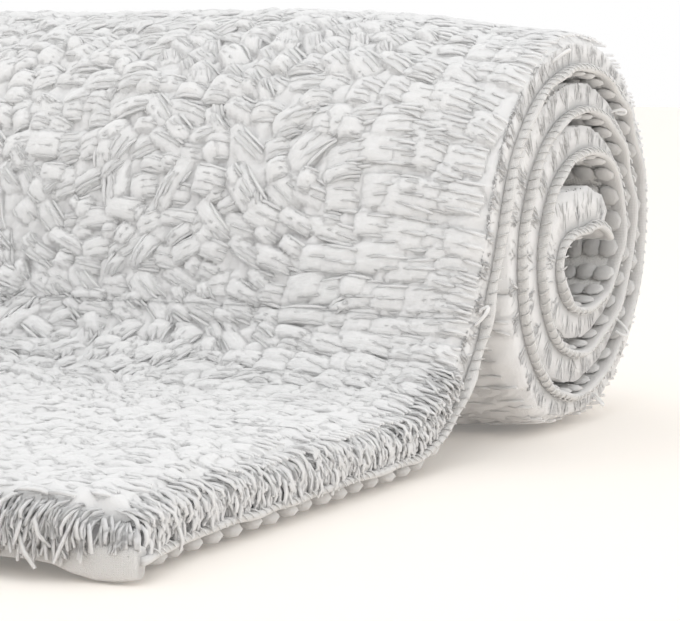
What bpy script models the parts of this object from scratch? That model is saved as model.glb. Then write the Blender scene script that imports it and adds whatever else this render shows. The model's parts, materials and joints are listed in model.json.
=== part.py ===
"""Tufted cotton bath mat, part rolled: a roll of three and a half turns, and a flap lying flat in front.

Frame: +X along the roll's axis, +Y from the flap to the roll, +Z up, origin at the middle of the
footprint on the floor. Everything follows one path, the middle of the ground cloth seen from the
side, measured along the cloth from the flap's free edge. The pile is on the outer side of the path.
"""
import math

import bpy
import numpy as np

# ---- driving dimensions, metres and degrees -------------------------------------------------
MAT_WIDTH = 0.610            # side to side, along the roll's axis
FLAT_LENGTH = 0.1495         # flat flap, from the free edge to where the mat starts to rise
RISE_RADIUS = 0.0468         # hollow curve at the foot of the roll's front
RISE_ANGLE = 74.0            # slope of the front where it meets the roll
ROLL_RADIUS = 0.0560         # mean radius of the cloth at the start of the first turn
ROLL_BULGE = 0.0079          # how far the front stands out past the back
ROLL_FLATTEN = 0.0030        # how much wider than tall the roll settles
ROLL_LEAN = 0.0018           # how far the upper front falls in
TURN_PITCH = 0.0120          # what a turn loses in radius
TURN_SLACK = 0.0029          # how much looser the turns lie in front
TURNS = 3.42                 # from the front of the roll to the inner end
CORE_DROP = 0.0105           # how far the loose inner end has sunk
CORE_DROP_FROM = 2.80        # the turn where it starts to sink
CORE_DROP_OVER = 0.45        # turns over which it sinks

CLOTH_THICKNESS = 0.0015     # woven ground cloth
HEM_THICKNESS = 0.0019       # folded side hem
HEM_WIDTH = 0.012
HEM_BEAD = 0.0054            # rolled-over edge of the hem at the free end: its depth
HEM_BULK = 0.0070            # and its height
CORE_HEM_THICKNESS = 0.0030  # hem at the inner end
PILE_HEIGHT = 0.0129         # tufts above the cloth where nothing presses on them
PILE_UNDER_ROLL = 0.0087     # tufts squeezed under the roll
ROW_PITCH = 0.0092           # from one row of tufts to the next
ROW_GROOVE = 0.0016          # depth of the furrow between rows
BACK_HEIGHT = 0.0038         # back stitches under the flap
BACK_HEIGHT_ROLLED = 0.0018  # back stitches pressed flat inside the roll
BACK_WEB = 0.0007            # thin layer that joins the rows of back stitches
EDGE_MARGIN = 0.003          # strip of hem left bare of pile at each side
THREAD_RADIUS = 0.0004
THREAD_SIDES = 0             # a thread's bevel resolution: 0 gives four sides
THREAD_INSET = 0.0014        # from the mat's side to the hem thread

TIP_BEND_AT = 0.070          # bend lines, measured along the cloth from the free edge
FOOT_BEND_AT = 0.140
TIP_RANGE = 60.0             # how far each bend line folds up before the pile meets
FOOT_RANGE = 45.0

GAP = 0.0003                 # clearance between neighbouring pieces
STEP = 0.001                 # spacing of the path's own points
SMOOTH_STEP = 0.004          # spacing of points on the smooth pieces

# ---- colours ---------------------------------------------------------------------------------
PILE_WHITE = (0.86, 0.86, 0.85, 1.0)
CLOTH_WHITE = (0.80, 0.79, 0.77, 1.0)
HEM_WHITE = (0.84, 0.83, 0.82, 1.0)
THREAD_WHITE = (0.88, 0.88, 0.87, 1.0)


# ---- the path of the cloth ---------------------------------------------------------------------
FACE = HEM_THICKNESS / 2 + GAP          # from the path to the pile, or to the back stitches
FLAT_Z = FACE + BACK_HEIGHT             # height of the path where the mat lies flat


def roll_radius(turn):
    """Distance of the cloth from the roll's centre, turn 0 being the front."""
    angle = 2 * math.pi * turn
    opening = ROLL_RADIUS + ROLL_BULGE * math.cos(angle)
    opening += ROLL_FLATTEN * math.cos(2 * angle) - ROLL_LEAN * math.sin(2 * angle)
    return opening - turn * (TURN_PITCH + TURN_SLACK * math.cos(angle))


UNDER_TURN = 0.75                       # where the first turn passes under the roll
CENTRE_Z = roll_radius(UNDER_TURN) + FACE + PILE_UNDER_ROLL


def roll_point(turn):
    """Point of the roll's cloth, with the roll's centre at y = 0."""
    angle = 2 * math.pi * turn
    radius = roll_radius(turn)
    sunk = min(max((turn - CORE_DROP_FROM) / CORE_DROP_OVER, 0), 1)
    centre = CENTRE_Z - CORE_DROP * sunk**2 * (3 - 2 * sunk)
    return np.array([-radius * math.cos(angle), centre + radius * math.sin(angle)])


def roll_slope(turn):
    """Angle of the cloth's direction above level, degrees."""
    ahead = roll_point(turn + 1e-4) - roll_point(turn - 1e-4)
    return math.degrees(math.atan2(ahead[1], ahead[0]))


def joining_turn():
    """Turn at which the roll has the slope of the rise, found by halving."""
    low, high = -0.10, 0.15
    for _ in range(50):
        middle = (low + high) / 2
        if roll_slope(middle) > RISE_ANGLE:
            low = middle
        else:
            high = middle
    return (low + high) / 2


def make_path():
    """Points every STEP along the cloth, their distances, and the distance where the roll starts."""
    start_turn = joining_turn()
    slope = math.radians(RISE_ANGLE)
    joint = roll_point(start_turn)
    arc_top = FLAT_Z + RISE_RADIUS * (1 - math.cos(slope))
    straight_foot = joint[0] - (joint[1] - arc_top) / math.tan(slope)
    arc_start = straight_foot - RISE_RADIUS * math.sin(slope)
    points = [np.array([arc_start - FLAT_LENGTH, FLAT_Z])]
    for share in np.linspace(0, 1, 60):
        angle = slope * share
        points.append(
            np.array(
                [
                    arc_start + RISE_RADIUS * math.sin(angle),
                    FLAT_Z + RISE_RADIUS * (1 - math.cos(angle)),
                ]
            )
        )
    for turn in np.linspace(start_turn, TURNS, 900):
        points.append(roll_point(turn))
    points = np.array(points)
    lengths = np.concatenate([[0], np.cumsum(np.linalg.norm(np.diff(points, axis=0), axis=1))])
    count = int(lengths[-1] / STEP) + 1
    along = np.linspace(0, lengths[-1], count)
    even = np.stack([np.interp(along, lengths, points[:, i]) for i in range(2)], axis=1)
    return even, along


PATH, ALONG = make_path()
MAT_LENGTH = ALONG[-1]
TANGENT = np.gradient(PATH, ALONG, axis=0)
TANGENT /= np.linalg.norm(TANGENT, axis=1)[:, None]
OUTWARD = np.stack([-TANGENT[:, 1], TANGENT[:, 0]], axis=1)


def distance_at_turn(turn):
    """Distance along the cloth of a point of the roll."""
    target = roll_point(turn)
    return ALONG[np.argmin(np.linalg.norm(PATH - target, axis=1))]


def at(distance, offset=0.0):
    """Point of the path at a distance along the cloth, moved outwards by an offset."""
    place = np.array([np.interp(distance, ALONG, PATH[:, i]) for i in range(2)])
    normal = np.array([np.interp(distance, ALONG, OUTWARD[:, i]) for i in range(2)])
    return place + offset * normal / np.linalg.norm(normal)


# ---- heights of the pile and of the back stitches -----------------------------------------------
ROLL_START = distance_at_turn(joining_turn())
NEXT_TURN = 0.06             # cloth nearer than this along the path is the same stretch
CORRIDOR = 0.003             # half width of the strip in which the next turn is looked for


def back_height(distance):
    """Height of the back stitches, which the roll presses flat."""
    share = np.clip((distance - FLAT_LENGTH) / (ROLL_START - FLAT_LENGTH), 0, 1)
    smooth = share * share * (3 - 2 * share)
    return BACK_HEIGHT + (BACK_HEIGHT_ROLLED - BACK_HEIGHT) * smooth


def find_room():
    """Room for the tufts at each point of the path: up to the next turn, or to the floor."""
    room = np.full(len(PATH), FACE + PILE_HEIGHT)
    back = back_height(ALONG)
    for i, (place, normal) in enumerate(zip(PATH, OUTWARD)):
        other = np.abs(ALONG - ALONG[i]) > NEXT_TURN
        across = PATH[other] - place
        ahead = across @ normal
        beside = np.abs(across[:, 0] * normal[1] - across[:, 1] * normal[0])
        met = (ahead > 0) & (beside < CORRIDOR)
        if met.any():
            free = ahead[met] - back[other][met] - FACE - GAP
            room[i] = min(room[i], free.min())
    spread = int(CORRIDOR / STEP)
    padded = np.pad(room, spread, mode="edge")
    room = np.min([padded[k:k + len(room)] for k in range(2 * spread + 1)], axis=0)
    down = OUTWARD[:, 1] < -0.05
    floor = np.where(down, PATH[:, 1] / np.where(down, -OUTWARD[:, 1], 1), np.inf)
    return room, floor


ROOM, FLOOR = find_room()


def pile_top(distance):
    """Offset of the tufts' ends from the path, with a furrow between the rows."""
    row = abs(math.sin(math.pi * distance / ROW_PITCH))
    free = FACE + PILE_HEIGHT - ROW_GROOVE * (1 - row) ** 2
    return min(free, np.interp(distance, ALONG, ROOM), np.interp(distance, ALONG, FLOOR))


def back_bottom(distance):
    """Offset of the back stitches' rounded rows from the path, on the inner side."""
    row = abs(math.sin(math.pi * distance / ROW_PITCH))
    share = min(1.0, 1.35 * row)
    web = min(BACK_WEB, BACK_HEIGHT_ROLLED / 2)
    return -(FACE + web + (back_height(distance) - web) * share)


# ---- placing -----------------------------------------------------------------------------------
def outline_limits():
    """Lowest and highest y of the whole mat."""
    outer = np.array([at(distance, pile_top(distance)) for distance in ALONG])
    return outer[:, 0].min(), outer[:, 0].max()


LOW_Y, HIGH_Y = outline_limits()
SHIFT = np.array([-(LOW_Y + HIGH_Y) / 2, 0.0])
SIDE = MAT_WIDTH / 2


def clear_scene():
    for old in list(bpy.data.objects):
        bpy.data.objects.remove(old, do_unlink=True)


def fabric(name, colour, roughness):
    material = bpy.data.materials.new(name)
    material.use_nodes = True
    shader = material.node_tree.nodes["Principled BSDF"]
    shader.inputs["Base Color"].default_value = colour
    shader.inputs["Roughness"].default_value = roughness
    shader.inputs["Metallic"].default_value = 0.0
    material.diffuse_color = colour
    return material


class Body:
    """A rigid stretch of the mat: its joint's place and the empty that its pieces hang from."""

    def __init__(self, name, hinge, collection):
        self.place = at(hinge) + SHIFT if hinge is not None else np.zeros(2)
        self.empty = bpy.data.objects.new(name, None)
        self.empty.location = (0.0, self.place[0], self.place[1])
        collection.objects.link(self.empty)
        self.collection = collection

    def adopt(self, thing, material):
        thing.data.materials.append(material)
        self.collection.objects.link(thing)
        thing.parent = self.empty

    def local(self, points):
        return np.asarray(points) + SHIFT - self.place


def samples(start, end, step=SMOOTH_STEP):
    """Distances from start to end, on the same ticks for every piece, so that neighbours stay parallel."""
    ticks = np.arange(math.ceil(start / step), math.floor(end / step) + 1) * step
    inside = [tick for tick in ticks if start + step / 4 < tick < end - step / 4]
    return np.array([start, *inside, end])


def slab(body, name, outline, half_width, material):
    """A side outline, filled and drawn out along the roll's axis."""
    data = bpy.data.curves.new(name, "CURVE")
    data.dimensions = "2D"
    data.fill_mode = "BOTH"
    data.extrude = half_width
    spline = data.splines.new("POLY")
    points = body.local(outline)
    spline.points.add(len(points) - 1)
    for point, (y, z) in zip(spline.points, points):
        point.co = (y, z, 0.0, 1.0)
    spline.use_cyclic_u = True
    thing = bpy.data.objects.new(name, data)
    thing.rotation_euler = (math.pi / 2, 0.0, math.pi / 2)
    body.adopt(thing, material)
    return thing


def strip(body, name, start, end, low_x, high_x, thickness, material):
    """A strip of cloth along the path: an open surface with its thickness from Solidify."""
    line = body.local([at(distance) for distance in samples(start, end)])
    vertices = [(x, y, z) for y, z in line for x in (low_x, high_x)]
    faces = [(2 * i, 2 * i + 1, 2 * i + 3, 2 * i + 2) for i in range(len(line) - 1)]
    mesh = bpy.data.meshes.new(name)
    mesh.from_pydata(vertices, [], faces)
    mesh.shade_smooth()
    thing = bpy.data.objects.new(name, mesh)
    solidify = thing.modifiers.new("thickness", "SOLIDIFY")
    solidify.thickness = thickness
    solidify.offset = 0.0
    solidify.use_even_offset = True
    body.adopt(thing, material)
    return thing


def pile(body, name, start, end, fold_start, fold_end, material):
    """Tufted rows between two distances. An end at a bend line slopes back by half of its fold."""
    quarter = ROW_PITCH / 4
    lean_start = math.tan(math.radians(fold_start / 2))
    lean_end = math.tan(math.radians(fold_end / 2))
    first = start + pile_top(start) * lean_start
    last = end - pile_top(end) * lean_end
    low = samples(start + FACE * lean_start, end - FACE * lean_end)
    ticks = np.arange(math.ceil(first / quarter), math.floor(last / quarter) + 1) * quarter
    inside = [tick for tick in ticks if first + quarter / 3 < tick < last - quarter / 3]
    outline = [at(distance, FACE) for distance in low]
    outline += [at(distance, pile_top(distance)) for distance in [last, *inside[::-1], first]]
    slab(body, name, outline, SIDE - EDGE_MARGIN, material)


def back_stitches(body, name, start, end, material):
    """Rows of back stitches on a thin layer, on the cloth's inner side."""
    quarter = ROW_PITCH / 4
    ticks = np.arange(math.ceil(start / quarter), math.floor(end / quarter) + 1) * quarter
    inside = [tick for tick in ticks if start + quarter / 3 < tick < end - quarter / 3]
    outline = [at(distance, back_bottom(distance)) for distance in [start, *inside, end]]
    outline += [at(distance, -FACE) for distance in samples(start, end)[::-1]]
    slab(body, name, outline, SIDE - EDGE_MARGIN, material)


def thread(body, name, start, end, x, material):
    """Hem thread: a thin round line on the bare strip beside the pile."""
    data = bpy.data.curves.new(name, "CURVE")
    data.dimensions = "3D"
    data.bevel_depth = THREAD_RADIUS
    data.bevel_resolution = THREAD_SIDES
    data.use_fill_caps = True
    spline = data.splines.new("POLY")
    offset = FACE + THREAD_RADIUS
    line = body.local([at(distance, offset) for distance in samples(start, end)])
    spline.points.add(len(line) - 1)
    for point, (y, z) in zip(spline.points, line):
        point.co = (x, y, z, 1.0)
    body.adopt(bpy.data.objects.new(name, data), material)


def cross_thread(body, name, distance, offset, material):
    """Hem thread across the mat, over an end hem."""
    data = bpy.data.curves.new(name, "CURVE")
    data.dimensions = "3D"
    data.bevel_depth = THREAD_RADIUS
    data.bevel_resolution = THREAD_SIDES
    data.use_fill_caps = True
    spline = data.splines.new("POLY")
    y, z = body.local([at(distance, offset)])[0]
    spline.points.add(1)
    spline.points[0].co = (-SIDE + THREAD_INSET, y, z, 1.0)
    spline.points[1].co = (SIDE - THREAD_INSET, y, z, 1.0)
    body.adopt(bpy.data.objects.new(name, data), material)


def setback(fold, height):
    """How far a piece of this height above the bend line stands back from it, to clear its neighbour."""
    return height * math.tan(math.radians(fold / 2)) + GAP / 2


def ground_and_sides(body, suffix, first, last, fold_first, fold_last, looks):
    """Ground cloth, two side hems and their threads between two distances, which may be bend lines."""
    inner_x = SIDE - HEM_WIDTH
    half = HEM_THICKNESS / 2
    start = first + setback(fold_first, half)
    end = last - setback(fold_last, half)
    thread_top = FACE + 2 * THREAD_RADIUS
    thread_start = first + setback(fold_first, thread_top)
    thread_end = last - setback(fold_last, thread_top)
    strip(body, "ground_cloth_" + suffix, start, end,
          -inner_x + GAP, inner_x - GAP, CLOTH_THICKNESS, looks["cloth"])
    for side, low_x, high_x in (("near", inner_x, SIDE), ("far", -SIDE, -inner_x)):
        strip(body, f"side_hem_{side}_{suffix}", start, end, low_x, high_x,
              HEM_THICKNESS, looks["hem"])
        x = math.copysign(SIDE - THREAD_INSET, high_x)
        thread(body, f"hem_thread_{side}_{suffix}", thread_start, thread_end, x, looks["thread"])


def free_end_hem(body, looks):
    """The free end's hem: cloth rolled over into a bead, with its tail stitched to the ground cloth."""
    low = -FLAT_Z
    high = HEM_BULK - FLAT_Z
    bead = HEM_BEAD
    corner = min(bead, HEM_BULK) / 4
    tail = HEM_THICKNESS / 2
    outline = [
        at(corner, low),
        at(bead - corner, low),
        at(bead, -tail),
        at(HEM_WIDTH, -tail),
        at(HEM_WIDTH, tail),
        at(bead + corner, tail),
        at(bead - corner / 2, high - corner / 2),
        at(bead - 2 * corner, high),
        at(corner, high),
        at(0.0, high - corner),
        at(0.0, low + corner),
    ]
    slab(body, "end_hem_free", outline, SIDE, looks["hem"])
    cross_thread(body, "end_hem_thread_free", (HEM_BEAD + HEM_WIDTH) / 2,
                 -(tail + GAP + THREAD_RADIUS), looks["thread"])


def core_end_hem(body, looks):
    """Hem at the inner end of the roll."""
    start = MAT_LENGTH - HEM_WIDTH + GAP
    half = CORE_HEM_THICKNESS / 2
    line = samples(start, MAT_LENGTH)
    outline = [at(distance, -half) for distance in line]
    outline += [at(distance, half) for distance in line[::-1]]
    slab(body, "end_hem_core", outline, SIDE, looks["hem"])
    cross_thread(body, "end_hem_thread_core", MAT_LENGTH - HEM_WIDTH / 2,
                 -(half + GAP + THREAD_RADIUS), looks["thread"])


def build():
    clear_scene()
    collection = bpy.data.collections.new("bath_mat")
    bpy.context.scene.collection.children.link(collection)
    looks = {
        "pile": fabric("cotton_pile", PILE_WHITE, 0.95),
        "cloth": fabric("ground_cloth", CLOTH_WHITE, 0.90),
        "hem": fabric("hem_cloth", HEM_WHITE, 0.85),
        "thread": fabric("hem_thread", THREAD_WHITE, 0.70),
    }
    roll = Body("roll", None, collection)
    flap = Body("flap_bend_line", FOOT_BEND_AT, collection)
    tip = Body("flap_tip_bend_line", TIP_BEND_AT, collection)
    tip.empty.parent = flap.empty
    offset = tip.place - flap.place
    tip.empty.location = (0.0, offset[0], offset[1])

    first_cloth = HEM_WIDTH + GAP
    last_cloth = MAT_LENGTH - HEM_WIDTH

    # flap tip: from the free edge to the first bend line
    free_end_hem(tip, looks)
    ground_and_sides(tip, "tip", first_cloth, TIP_BEND_AT, 0.0, TIP_RANGE, looks)
    pile(tip, "pile_tip", HEM_BEAD * 1.25 + GAP, TIP_BEND_AT - GAP, 0.0, TIP_RANGE, looks["pile"])
    back_stitches(tip, "back_stitches_tip", first_cloth, TIP_BEND_AT - GAP, looks["pile"])

    # flap: between the two bend lines
    ground_and_sides(flap, "flap", TIP_BEND_AT, FOOT_BEND_AT, TIP_RANGE, FOOT_RANGE, looks)
    pile(flap, "pile_flap", TIP_BEND_AT + GAP, FOOT_BEND_AT - GAP, TIP_RANGE, FOOT_RANGE, looks["pile"])
    back_stitches(flap, "back_stitches_flap", TIP_BEND_AT + GAP, FOOT_BEND_AT - GAP, looks["pile"])

    # roll: from the second bend line to the inner end
    ground_and_sides(roll, "roll", FOOT_BEND_AT, last_cloth, FOOT_RANGE, 0.0, looks)
    core_end_hem(roll, looks)
    foot_end = FLAT_LENGTH + RISE_RADIUS * math.radians(RISE_ANGLE) * 0.8
    back_stitches(roll, "back_stitches_foot", FOOT_BEND_AT + GAP, foot_end, looks["pile"])
    back_stitches(roll, "back_stitches_roll", foot_end + GAP, last_cloth, looks["pile"])
    cuts = [FOOT_BEND_AT, foot_end]
    cuts += [distance_at_turn(turn) for turn in (0.12, 0.38, 0.62, 0.92, 1.92, 2.92)]
    cuts += [last_cloth]
    names = ("foot", "front", "top", "rear", "underside", "second_turn", "third_turn", "core")
    for name, start, end in zip(names, cuts, cuts[1:]):
        fold = FOOT_RANGE if name == "foot" else 0.0
        pile(roll, "pile_" + name, start + GAP / 2, end - GAP / 2, fold, 0.0, looks["pile"])

    print(f"cut length of the cloth {MAT_LENGTH:.4f} m, width {MAT_WIDTH:.3f} m")
    print(f"roll centre y {SHIFT[0]:.5f} z {CENTRE_Z:.5f}")
    print(f"flap bend line y {flap.place[0]:.5f} z {flap.place[1]:.5f}")
    print(f"flap tip bend line y {tip.place[0]:.5f} z {tip.place[1]:.5f}")


build()
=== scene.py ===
# %% [markdown]
# # A bath mat, part rolled
#
# This lesson dresses the plain solids of a tufted cotton bath mat. The mat is rolled three and a
# half times with its pile outside, and its free end lies on the floor as a flap. The solids say
# where everything is and how it bends. Here each one is replaced by cloth, hems, yarn and stitches.

# %% Load the frame
import json
import math

import bpy
import numpy as np
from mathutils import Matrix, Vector


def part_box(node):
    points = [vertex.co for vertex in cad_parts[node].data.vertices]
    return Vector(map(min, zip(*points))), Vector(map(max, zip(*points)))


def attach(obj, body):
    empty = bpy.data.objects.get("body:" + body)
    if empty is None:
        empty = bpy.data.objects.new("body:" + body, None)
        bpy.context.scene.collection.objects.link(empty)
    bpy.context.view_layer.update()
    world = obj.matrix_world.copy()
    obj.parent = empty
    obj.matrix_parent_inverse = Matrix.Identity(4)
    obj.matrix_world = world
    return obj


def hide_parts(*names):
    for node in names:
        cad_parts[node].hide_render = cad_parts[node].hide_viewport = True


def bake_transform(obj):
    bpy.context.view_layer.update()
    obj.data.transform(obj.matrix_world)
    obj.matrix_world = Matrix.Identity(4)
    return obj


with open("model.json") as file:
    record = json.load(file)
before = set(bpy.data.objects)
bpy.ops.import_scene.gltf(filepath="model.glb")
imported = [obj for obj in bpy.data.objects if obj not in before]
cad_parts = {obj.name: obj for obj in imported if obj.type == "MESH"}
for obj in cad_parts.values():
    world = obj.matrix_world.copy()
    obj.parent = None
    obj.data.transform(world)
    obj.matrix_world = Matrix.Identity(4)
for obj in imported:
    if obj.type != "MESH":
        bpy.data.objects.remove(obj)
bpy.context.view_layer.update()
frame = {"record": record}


# %% [markdown]
# ## The path of the cloth
#
# Seen from the side, the whole mat is one line: flat flap, hollow rise, then a spiral that gets
# tighter towards the core. If every piece is placed by its distance along that line and its height
# above it, cloth, pile and stitches stay together however the line bends. The formula is the one
# that the solids were made with, and the frame says where it lies on the floor.

# %% Sizes of the mat
MAT_WIDTH = 0.610
SIDE = MAT_WIDTH / 2
FLAT_LENGTH = 0.1495
RISE_RADIUS, RISE_ANGLE = 0.0468, math.radians(74.0)
ROLL_RADIUS, ROLL_BULGE, ROLL_FLATTEN, ROLL_LEAN = 0.0560, 0.0079, 0.0030, 0.0018
TURN_PITCH, TURN_SLACK, TURNS = 0.0120, 0.0029, 3.42
CORE_DROP, CORE_DROP_FROM, CORE_DROP_OVER = 0.0105, 2.80, 0.45
CLOTH, HEM_WIDTH, HEM_BEAD = 0.0015, 0.012, 0.0054
PILE_HEIGHT, UNDER_ROLL, ROW_PITCH = 0.0129, 0.0087, 0.0092
BACK_HEIGHT, BACK_ROLLED = 0.0038, 0.0018
FACE = 0.00125               # from the middle of the cloth to the foot of the pile
FLAT_Z = FACE + BACK_HEIGHT
STEP = 0.001
ROLL_SKEW, CORNER_FLARE = 0.0041, 0.0040
CORNER_BARE = 0.015           # how far from a corner the end hem shows
PILE_SIDE = SIDE - 0.0022     # how far to each side the matted pile reaches
print(f"mat {MAT_WIDTH:.3f} m wide, rows every {ROW_PITCH * 1000:.1f} mm")


# %% The spiral and the rise
def smooth(share):
    """Eases from 0 to 1 as share goes from 0 to 1."""
    share = np.clip(share, 0, 1)
    return share * share * (3 - 2 * share)


def roll_radius(turn):
    """Distance of the cloth from the roll's centre; turn 0 is the front."""
    angle = 2 * np.pi * turn
    opening = ROLL_RADIUS + ROLL_BULGE * np.cos(angle)
    opening = opening + ROLL_FLATTEN * np.cos(2 * angle) - ROLL_LEAN * np.sin(2 * angle)
    return opening - turn * (TURN_PITCH + TURN_SLACK * np.cos(angle))


CENTRE_Z = roll_radius(0.75) + FACE + UNDER_ROLL


def roll_point(turn):
    """Point of the roll's cloth, with the roll's centre at y = 0."""
    angle = 2 * np.pi * turn
    radius = roll_radius(turn)
    centre = CENTRE_Z - CORE_DROP * smooth((turn - CORE_DROP_FROM) / CORE_DROP_OVER)
    return np.stack([-radius * np.cos(angle), centre + radius * np.sin(angle)], -1)


def joining_turn():
    """The turn where the roll is as steep as the rise."""
    turns = np.linspace(-0.10, 0.15, 5001)
    ahead = roll_point(turns + 1e-4) - roll_point(turns - 1e-4)
    slope = np.arctan2(ahead[:, 1], ahead[:, 0])
    return turns[np.argmax(slope < RISE_ANGLE)]


JOIN = joining_turn()
arc_top = FLAT_Z + RISE_RADIUS * (1 - math.cos(RISE_ANGLE))
joint = roll_point(JOIN)
arc_end = joint[0] - (joint[1] - arc_top) / math.tan(RISE_ANGLE)
arc_start = arc_end - RISE_RADIUS * math.sin(RISE_ANGLE)
bend = np.linspace(0, RISE_ANGLE, 60)
rise_z = FLAT_Z + RISE_RADIUS * (1 - np.cos(bend))
rise = np.stack([arc_start + RISE_RADIUS * np.sin(bend), rise_z], -1)
roll_turns = np.linspace(JOIN, TURNS, 900)
line = np.vstack([[[arc_start - FLAT_LENGTH, FLAT_Z]], rise, roll_point(roll_turns)])
run = np.concatenate([[0], np.cumsum(np.linalg.norm(np.diff(line, axis=0), axis=1))])
ALONG = np.linspace(0, run[-1], int(run[-1] / STEP) + 1)
PATH = np.stack([np.interp(ALONG, run, line[:, i]) for i in range(2)], -1)
roll_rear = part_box("ground_cloth_roll")[1][1]
PATH[:, 0] += roll_rear - (PATH[:, 0].max() + CLOTH / 2)
MAT_LENGTH = float(ALONG[-1])
TANGENT = np.gradient(PATH, ALONG, axis=0)
TANGENT /= np.linalg.norm(TANGENT, axis=1)[:, None]
OUTWARD = np.stack([-TANGENT[:, 1], TANGENT[:, 0]], -1)
print(f"cut length {MAT_LENGTH:.3f} m, from y {PATH[:, 0].min():.4f} to {PATH[:, 0].max():.4f}")


# %% Places on the path
def along(distance, table):
    """Reads a table that runs along the cloth at these distances."""
    return np.stack([np.interp(distance, ALONG, table[:, i]) for i in range(2)], -1)


def ways(distance):
    """The cloth's outward and forward directions (y, z) at these distances."""
    return along(distance, OUTWARD), along(distance, TANGENT)


def in_space(across, sideways):
    """Vectors in space from their part across the mat and their (y, z) part."""
    across = np.broadcast_to(across, sideways.shape[:-1])
    return np.concatenate([across[..., None], sideways], -1)


def place(distance, offset=0.0):
    """Points (y, z) at these distances along the cloth and offsets above it."""
    distance, offset = np.broadcast_arrays(np.asarray(distance, float), offset)
    return along(distance, PATH) + offset[..., None] * along(distance, OUTWARD)


def spot(x, distance, offset=0.0):
    """Points in space. The roll sits to one side of the flap, and the free corners flare."""
    x, distance = np.broadcast_arrays(np.asarray(x, float), distance)
    side = smooth((np.abs(x) - (SIDE - 0.030)) / 0.030) * np.sign(x)
    moved = x + ROLL_SKEW * smooth((distance - 0.165) / 0.080)
    moved = moved + CORNER_FLARE * side * (1 - smooth(distance / 0.030))
    return in_space(moved, place(distance, offset))


ROLL_FIRST = 1 + len(rise)    # the first of the line's points that is on the roll


def distance_at_turn(turn):
    """Distance along the cloth of a turn of the roll."""
    return float(np.interp(turn, roll_turns, run[ROLL_FIRST:]))


ROLL_START = distance_at_turn(JOIN)
TURN = np.interp(ALONG, run[ROLL_FIRST:], roll_turns, left=-0.2)


def back_height(distance):
    """Height of the back stitches, pressed flat inside the roll."""
    share = smooth((np.asarray(distance) - FLAT_LENGTH) / (ROLL_START - FLAT_LENGTH))
    return BACK_HEIGHT + (BACK_ROLLED - BACK_HEIGHT) * share


# %% [markdown]
# ## Room for the tufts
#
# Where nothing touches the pile it stands at its full height. Inside the roll the next turn presses
# on it, and under the roll the floor does. A ray from each point of the cloth finds what it meets
# first, which gives a height for every distance along the mat.


# %% Measure the room
def find_room():
    """Height free above the path, up to the next turn's back or the floor."""
    room = np.full(len(PATH), FACE + PILE_HEIGHT)
    back = back_height(ALONG)
    for i, (here, normal) in enumerate(zip(PATH, OUTWARD)):
        other = np.abs(ALONG - ALONG[i]) > 0.06
        across = PATH[other] - here
        ahead = across @ normal
        beside = np.abs(across[:, 0] * normal[1] - across[:, 1] * normal[0])
        met = (ahead > 0) & (beside < 0.003)
        if met.any():
            room[i] = min(room[i], (ahead[met] - back[other][met] - FACE).min())
    padded = np.pad(room, 3, mode="edge")
    room = np.min([padded[k:k + len(room)] for k in range(7)], axis=0)
    down = OUTWARD[:, 1] < -0.05
    floor = np.where(down, PATH[:, 1] / np.where(down, -OUTWARD[:, 1], 1), 1.0)
    return np.minimum(room, floor)


ROOM = find_room()
print(f"pile from {1000 * (ROOM - FACE).min():.1f} to {1000 * (ROOM - FACE).max():.1f} mm high")

# %% [markdown]
# ## Finishes
#
# Everything is the same bleached cotton, so the finishes differ in make-up and only a little in
# tone. The back stitches are made darker than the pile. The folded hems are darker too, which is
# painted shade for the corner hem that faces down and away from the lamps. The pile is loosely
# twisted yarn: very matt, with a soft sheen from its loose fibres and a slight change of tone from
# strand to strand. The ground cloth and hems are a plain weave, which two crossed wave patterns give
# on the piece's own map of metres across and along.


# %% Cotton finishes
def new_material(name, colour, roughness, sheen):
    """A Principled material with its uniform values on the shader's own sockets."""
    material = bpy.data.materials.new(name)
    material.use_nodes = True
    shader = material.node_tree.nodes["Principled BSDF"]
    shader.inputs["Base Color"].default_value = (*colour, 1)
    shader.inputs["Roughness"].default_value = roughness
    shader.inputs["Sheen Weight"].default_value = sheen
    shader.inputs["Sheen Roughness"].default_value = 0.6
    shader.inputs["Specular IOR Level"].default_value = 0.15
    shader.inputs["Subsurface Weight"].default_value = 0.65
    shader.inputs["Subsurface Radius"].default_value = (1.0, 1.0, 1.0)
    shader.inputs["Subsurface Scale"].default_value = 0.0035
    material.diffuse_color = (*colour, 1)
    return material, material.node_tree, shader


def add(tree, kind, **values):
    """A node with its settings, and its inputs where a value names one."""
    node = tree.nodes.new(kind)
    for key, value in values.items():
        if key in node.bl_rna.properties:
            setattr(node, key, value)
        else:
            node.inputs[key.replace("_", " ")].default_value = value
    return node


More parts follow.
